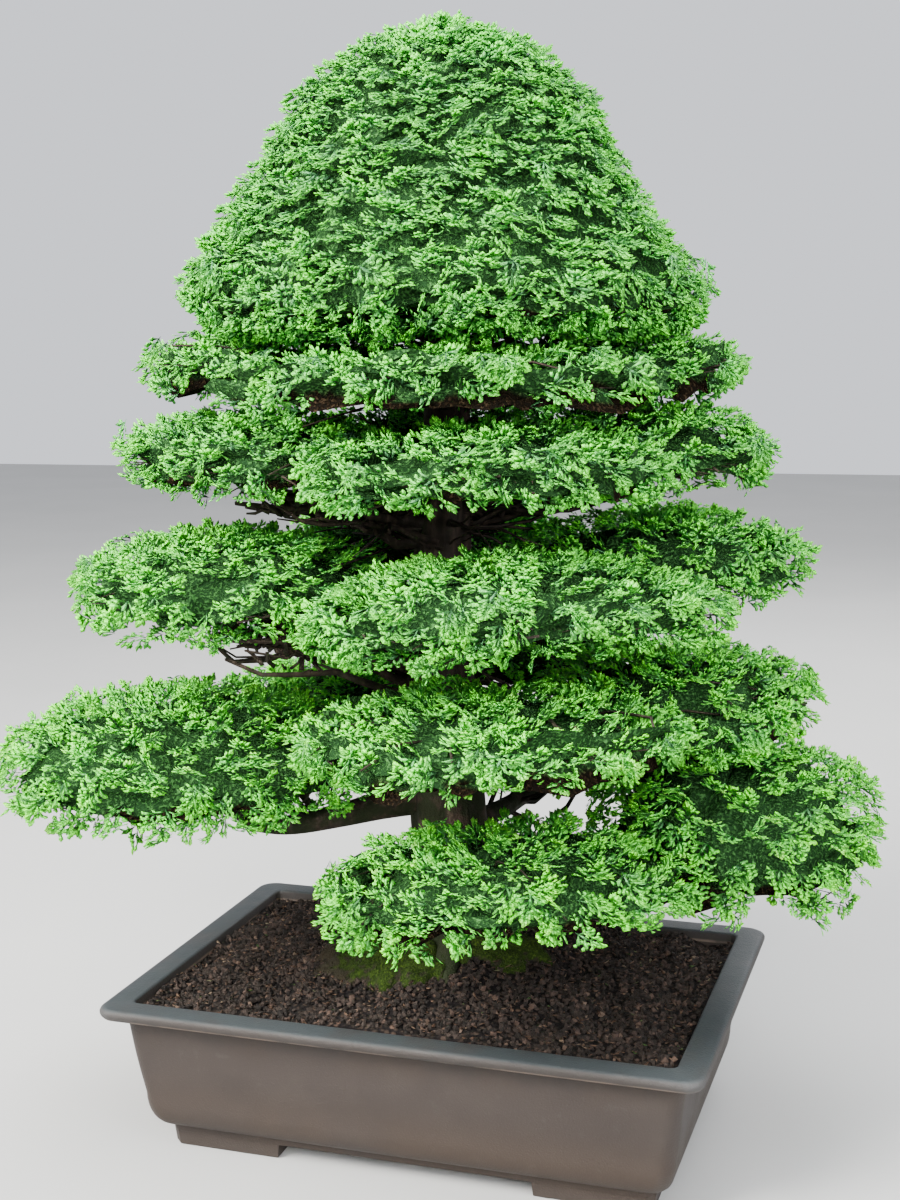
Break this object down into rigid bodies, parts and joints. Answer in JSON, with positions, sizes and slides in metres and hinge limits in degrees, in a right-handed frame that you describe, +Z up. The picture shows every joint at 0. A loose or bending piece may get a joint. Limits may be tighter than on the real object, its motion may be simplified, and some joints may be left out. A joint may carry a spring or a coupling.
{
  "type": "hinoki cypress bonsai",
  "caption": "Conical hinoki cypress bonsai with tiered foliage pads on a single trunk, planted in mossy soil in a low rectangular footed clay pot.",
  "frame": {"origin": "middle of the pot's footprint, on the surface the pot stands on", "axes": "+Z up, +X along the pot's long side, -Y towards the tree's front"},
  "size_m": [0.6844, 0.5594, 0.8475],
  "materials": {
    "clay": "unglazed",
    "soil": "granular",
    "screen": "moulded",
    "moss": "velvety",
    "bark": "fibrous bark",
    "foliage": "scale leaves"
  },
  "bodies": {
    "root": {"crown": "foliage", "drain_screen_left": "screen", "drain_screen_right": "screen", "moss_mat": "moss", "pad_1_back_left": "foliage", "pad_1_back_right": "foliage", "pad_1_front": "foliage", "pad_1_left": "foliage", "pad_1_right": "foliage", "pad_2_back": "foliage", "pad_2_front": "foliage", "pad_2_right": "foliage", "pad_3_back": "foliage", "pad_3_front": "foliage", "pad_3_left": "foliage", "pad_3_right": "foliage", "pad_4_back": "foliage", "pad_4_front": "foliage", "pad_4_left": "foliage", "pad_4_right": "foliage", "pad_5_back": "foliage", "pad_5_front": "foliage", "pad_5_left": "foliage", "pad_5_right": "foliage", "pot": "clay", "soil": "soil", "trunk_and_limbs": "bark"}
  },
  "joints": []
}
